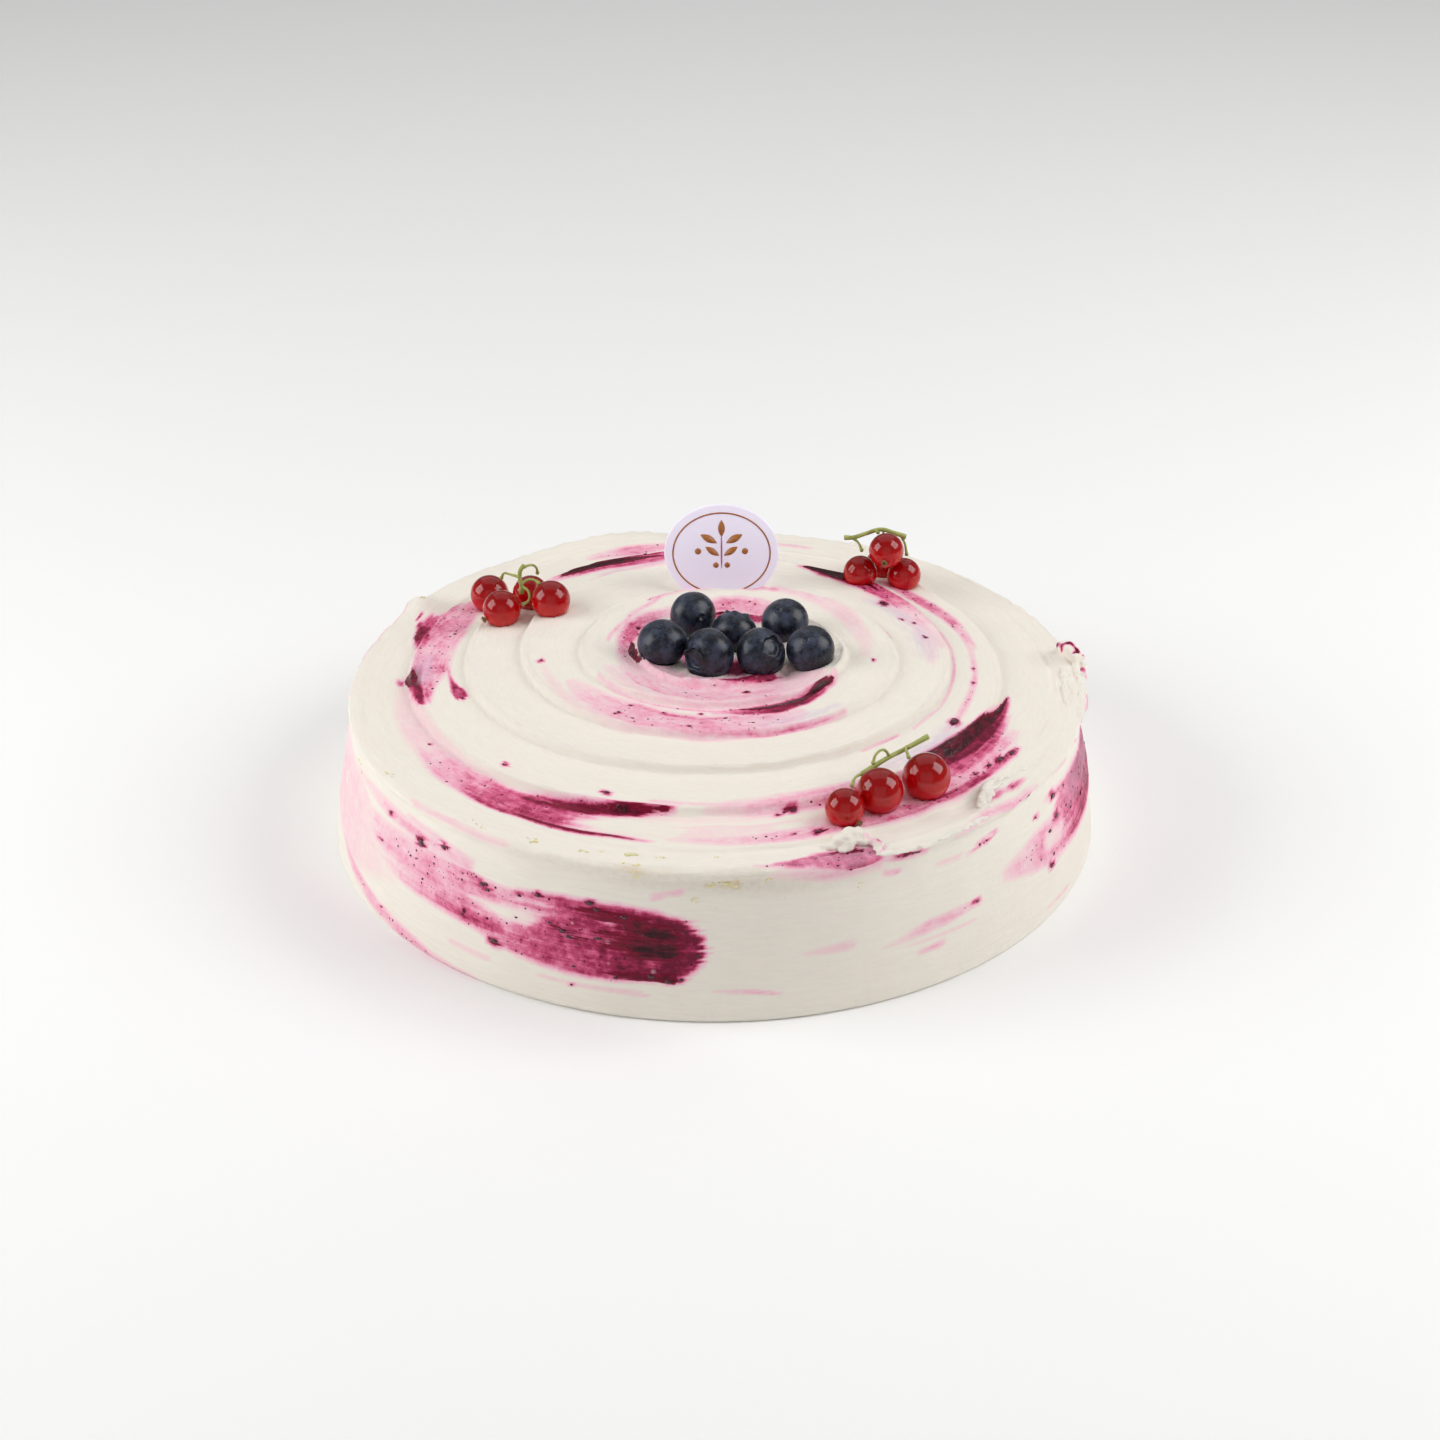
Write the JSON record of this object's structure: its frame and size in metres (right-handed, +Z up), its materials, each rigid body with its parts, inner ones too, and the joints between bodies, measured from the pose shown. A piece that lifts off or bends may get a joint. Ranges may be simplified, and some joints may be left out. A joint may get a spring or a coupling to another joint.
{
  "type": "blueberry cream cake",
  "caption": "Low round cake coated in cream swirled with dark berry jam, topped with blueberries, redcurrant sprigs and a small upright oval plaque.",
  "frame": {"origin": "middle of the cake's flat underside, on the surface that it stands on", "axes": "+Z up out of the top; -Y towards the front, where the picture was taken from; +X to the right seen from the front"},
  "size_m": [0.2078, 0.2078, 0.0726],
  "materials": {
    "cream": "satin whipped cream with berry jam marbled in",
    "blueberry": "near-black navy skin with a thin grey-blue bloom",
    "currant": "glossy translucent red skin",
    "stalk": "fresh green stalk, yellowish at the nodes",
    "plaque": "smooth pale lilac sugar plaque with a plain gold-brown border and sprig"
  },
  "bodies": {
    "root": {"cake": "cream", "blueberry_1": "blueberry", "blueberry_2": "blueberry", "blueberry_3": "blueberry", "blueberry_4": "blueberry", "blueberry_5": "blueberry", "blueberry_6": "blueberry", "blueberry_7": "blueberry", "currant_a1": "currant", "currant_a2": "currant", "currant_a3": "currant", "currant_a4": "currant", "currant_b1": "currant", "currant_b2": "currant", "currant_b3": "currant", "currant_b4": "currant", "currant_c1": "currant", "currant_c2": "currant", "currant_c3": "currant", "stem_a": "stalk", "stem_b": "stalk", "stem_c": "stalk", "plaque": "plaque"}
  },
  "joints": []
}
